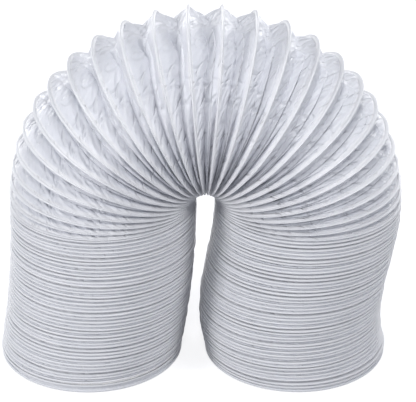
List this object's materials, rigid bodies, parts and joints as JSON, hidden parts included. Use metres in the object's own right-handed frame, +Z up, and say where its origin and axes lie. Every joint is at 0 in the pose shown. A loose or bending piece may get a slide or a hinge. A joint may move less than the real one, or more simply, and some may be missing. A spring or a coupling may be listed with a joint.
{
  "type": "flexible air duct",
  "caption": "Pleated flexible air duct bent into an inverted U: a spring wire helix in a lapped white film skin, folded legs and a fanned bend.",
  "frame": {"origin": "middle of the whole width, on the surface that both ends stand on", "axes": "+X from the left end to the right end, +Y to the back, +Z up"},
  "size_m": [0.3394, 0.1558, 0.3093],
  "materials": {
    "film": "satin",
    "wire": "satin",
    "cuff": "satin"
  },
  "bodies": {
    "left_end": {"left_cuff": "cuff", "left_leg_wire": "wire", "left_leg_film": "film"},
    "turn_01": {"turn_01_wire": "wire", "turn_01_film": "film"},
    "turn_02": {"turn_02_wire": "wire", "turn_02_film": "film"},
    "turn_03": {"turn_03_wire": "wire", "turn_03_film": "film"},
    "turn_04": {"turn_04_wire": "wire", "turn_04_film": "film"},
    "turn_05": {"turn_05_wire": "wire", "turn_05_film": "film"},
    "turn_06": {"turn_06_wire": "wire", "turn_06_film": "film"},
    "turn_07": {"turn_07_wire": "wire", "turn_07_film": "film"},
    "turn_08": {"turn_08_wire": "wire", "turn_08_film": "film"},
    "turn_09": {"turn_09_wire": "wire", "turn_09_film": "film"},
    "turn_10": {"turn_10_wire": "wire", "turn_10_film": "film"},
    "turn_11": {"turn_11_wire": "wire", "turn_11_film": "film"},
    "turn_12": {"turn_12_wire": "wire", "turn_12_film": "film"},
    "turn_13": {"turn_13_wire": "wire", "turn_13_film": "film"},
    "turn_14": {"turn_14_wire": "wire", "turn_14_film": "film"},
    "turn_15": {"turn_15_wire": "wire", "turn_15_film": "film"},
    "turn_16": {"turn_16_wire": "wire", "turn_16_film": "film"},
    "turn_17": {"turn_17_wire": "wire", "turn_17_film": "film"},
    "turn_18": {"turn_18_wire": "wire", "turn_18_film": "film"},
    "turn_19": {"turn_19_wire": "wire", "turn_19_film": "film"},
    "turn_20": {"turn_20_wire": "wire", "turn_20_film": "film"},
    "turn_21": {"turn_21_wire": "wire", "turn_21_film": "film"},
    "turn_22": {"turn_22_wire": "wire", "turn_22_film": "film"},
    "turn_23": {"turn_23_wire": "wire", "turn_23_film": "film"},
    "turn_24": {"turn_24_wire": "wire", "turn_24_film": "film"},
    "turn_25": {"turn_25_wire": "wire", "turn_25_film": "film"},
    "turn_26": {"turn_26_wire": "wire", "turn_26_film": "film"},
    "right_end": {"right_leg_wire": "wire", "right_leg_film": "film", "right_cuff": "cuff"}
  },
  "joints": [
    {"name": "legs_stretch", "type": "slide", "parent": "left_end", "child": "turn_01", "axis": [0, 0, 1], "range_m": [0, 0.87], "deforming": ["left_leg_wire", "left_leg_film"]},
    {"name": "arch_fold", "type": "hinge", "parent": "turn_01", "child": "turn_02", "pos_m": [-0.00204, 0, 0.1443], "axis": [0, 1, 0], "range_deg": [-2.2, 0], "deforming": ["turn_01_film"]},
    {"name": "fold_02", "type": "hinge", "parent": "turn_02", "child": "turn_03", "pos_m": [-0.00198, 0, 0.1456], "axis": [0, 1, 0], "range_deg": [-3.18, 0], "deforming": ["turn_02_film"]},
    {"name": "fold_03", "type": "hinge", "parent": "turn_03", "child": "turn_04", "pos_m": [-0.00183, 0, 0.14689], "axis": [0, 1, 0], "range_deg": [-4.13, 0], "deforming": ["turn_03_film"]},
    {"name": "fold_04", "type": "hinge", "parent": "turn_04", "child": "turn_05", "pos_m": [-0.00158, 0, 0.14817], "axis": [0, 1, 0], "range_deg": [-5.05, 0], "deforming": ["turn_04_film"]},
    {"name": "fold_05", "type": "hinge", "parent": "turn_05", "child": "turn_06", "pos_m": [-0.00121, 0, 0.14941], "axis": [0, 1, 0], "range_deg": [-5.91, 0], "deforming": ["turn_05_film"]},
    {"name": "fold_06", "type": "hinge", "parent": "turn_06", "child": "turn_07", "pos_m": [-0.0007, 0, 0.15061], "axis": [0, 1, 0], "range_deg": [-6.7, 0], "deforming": ["turn_06_film"]},
    {"name": "fold_07", "type": "hinge", "parent": "turn_07", "child": "turn_08", "pos_m": [-0.00005, 0, 0.15173], "axis": [0, 1, 0], "range_deg": [-7.42, 0], "deforming": ["turn_07_film"]},
    {"name": "fold_08", "type": "hinge", "parent": "turn_08", "child": "turn_09", "pos_m": [0.00075, 0, 0.15276], "axis": [0, 1, 0], "range_deg": [-8.05, 0], "deforming": ["turn_08_film"]},
    {"name": "fold_09", "type": "hinge", "parent": "turn_09", "child": "turn_10", "pos_m": [0.0017, 0, 0.15365], "axis": [0, 1, 0], "range_deg": [-8.57, 0], "deforming": ["turn_09_film"]},
    {"name": "fold_10", "type": "hinge", "parent": "turn_10", "child": "turn_11", "pos_m": [0.00277, 0, 0.15438], "axis": [0, 1, 0], "range_deg": [-8.99, 0], "deforming": ["turn_10_film"]},
    {"name": "fold_11", "type": "hinge", "parent": "turn_11", "child": "turn_12", "pos_m": [0.00395, 0, 0.15493], "axis": [0, 1, 0], "range_deg": [-9.3, 0], "deforming": ["turn_11_film"]},
    {"name": "fold_12", "type": "hinge", "parent": "turn_12", "child": "turn_13", "pos_m": [0.00521, 0, 0.15526], "axis": [0, 1, 0], "range_deg": [-9.48, 0], "deforming": ["turn_12_film"]},
    {"name": "fold_13", "type": "hinge", "parent": "turn_13", "child": "turn_14", "pos_m": [0.0065, 0, 0.15538], "axis": [0, 1, 0], "range_deg": [-9.54, 0], "deforming": ["turn_13_film"]},
    {"name": "fold_14", "type": "hinge", "parent": "turn_14", "child": "turn_15", "pos_m": [0.00779, 0, 0.15526], "axis": [0, 1, 0], "range_deg": [-9.48, 0], "deforming": ["turn_14_film"]},
    {"name": "fold_15", "type": "hinge", "parent": "turn_15", "child": "turn_16", "pos_m": [0.00905, 0, 0.15493], "axis": [0, 1, 0], "range_deg": [-9.3, 0], "deforming": ["turn_15_film"]},
    {"name": "fold_16", "type": "hinge", "parent": "turn_16", "child": "turn_17", "pos_m": [0.01023, 0, 0.15438], "axis": [0, 1, 0], "range_deg": [-8.99, 0], "deforming": ["turn_16_film"]},
    {"name": "fold_17", "type": "hinge", "parent": "turn_17", "child": "turn_18", "pos_m": [0.0113, 0, 0.15365], "axis": [0, 1, 0], "range_deg": [-8.57, 0], "deforming": ["turn_17_film"]},
    {"name": "fold_18", "type": "hinge", "parent": "turn_18", "child": "turn_19", "pos_m": [0.01225, 0, 0.15276], "axis": [0, 1, 0], "range_deg": [-8.05, 0], "deforming": ["turn_18_film"]},
    {"name": "fold_19", "type": "hinge", "parent": "turn_19", "child": "turn_20", "pos_m": [0.01305, 0, 0.15173], "axis": [0, 1, 0], "range_deg": [-7.42, 0], "deforming": ["turn_19_film"]},
    {"name": "fold_20", "type": "hinge", "parent": "turn_20", "child": "turn_21", "pos_m": [0.0137, 0, 0.15061], "axis": [0, 1, 0], "range_deg": [-6.7, 0], "deforming": ["turn_20_film"]},
    {"name": "fold_21", "type": "hinge", "parent": "turn_21", "child": "turn_22", "pos_m": [0.01421, 0, 0.14941], "axis": [0, 1, 0], "range_deg": [-5.91, 0], "deforming": ["turn_21_film"]},
    {"name": "fold_22", "type": "hinge", "parent": "turn_22", "child": "turn_23", "pos_m": [0.01458, 0, 0.14817], "axis": [0, 1, 0], "range_deg": [-5.05, 0], "deforming": ["turn_22_film"]},
    {"name": "fold_23", "type": "hinge", "parent": "turn_23", "child": "turn_24", "pos_m": [0.01483, 0, 0.14689], "axis": [0, 1, 0], "range_deg": [-4.13, 0], "deforming": ["turn_23_film"]},
    {"name": "fold_24", "type": "hinge", "parent": "turn_24", "child": "turn_25", "pos_m": [0.01498, 0, 0.1456], "axis": [0, 1, 0], "range_deg": [-3.18, 0], "deforming": ["turn_24_film"]},
    {"name": "fold_25", "type": "hinge", "parent": "turn_25", "child": "turn_26", "pos_m": [0.01504, 0, 0.1443], "axis": [0, 1, 0], "range_deg": [-2.2, 0], "deforming": ["turn_25_film"]},
    {"name": "right_leg_stretch", "type": "slide", "parent": "turn_26", "child": "right_end", "axis": [0, 0, -1], "range_m": [0, 0.87], "deforming": ["turn_26_film", "right_leg_wire", "right_leg_film"]}
  ],
  "couplings": [
    {"joint": "fold_02", "follows": "arch_fold", "ratio": 1.4436},
    {"joint": "fold_03", "follows": "arch_fold", "ratio": 1.8766},
    {"joint": "fold_04", "follows": "arch_fold", "ratio": 2.2922},
    {"joint": "fold_05", "follows": "arch_fold", "ratio": 2.6838},
    {"joint": "fold_06", "follows": "arch_fold", "ratio": 3.0454},
    {"joint": "fold_07", "follows": "arch_fold", "ratio": 3.3713},
    {"joint": "fold_08", "follows": "arch_fold", "ratio": 3.6562},
    {"joint": "fold_09", "follows": "arch_fold", "ratio": 3.8957},
    {"joint": "fold_10", "follows": "arch_fold", "ratio": 4.086},
    {"joint": "fold_11", "follows": "arch_fold", "ratio": 4.2241},
    {"joint": "fold_12", "follows": "arch_fold", "ratio": 4.3079},
    {"joint": "fold_13", "follows": "arch_fold", "ratio": 4.3359},
    {"joint": "fold_14", "follows": "arch_fold", "ratio": 4.3079},
    {"joint": "fold_15", "follows": "arch_fold", "ratio": 4.2241},
    {"joint": "fold_16", "follows": "arch_fold", "ratio": 4.086},
    {"joint": "fold_17", "follows": "arch_fold", "ratio": 3.8957},
    {"joint": "fold_18", "follows": "arch_fold", "ratio": 3.6562},
    {"joint": "fold_19", "follows": "arch_fold", "ratio": 3.3713},
    {"joint": "fold_20", "follows": "arch_fold", "ratio": 3.0454},
    {"joint": "fold_21", "follows": "arch_fold", "ratio": 2.6838},
    {"joint": "fold_22", "follows": "arch_fold", "ratio": 2.2922},
    {"joint": "fold_23", "follows": "arch_fold", "ratio": 1.8766},
    {"joint": "fold_24", "follows": "arch_fold", "ratio": 1.4436},
    {"joint": "fold_25", "follows": "arch_fold", "ratio": 1.0002},
    {"joint": "right_leg_stretch", "follows": "legs_stretch", "ratio": 1}
  ]
}
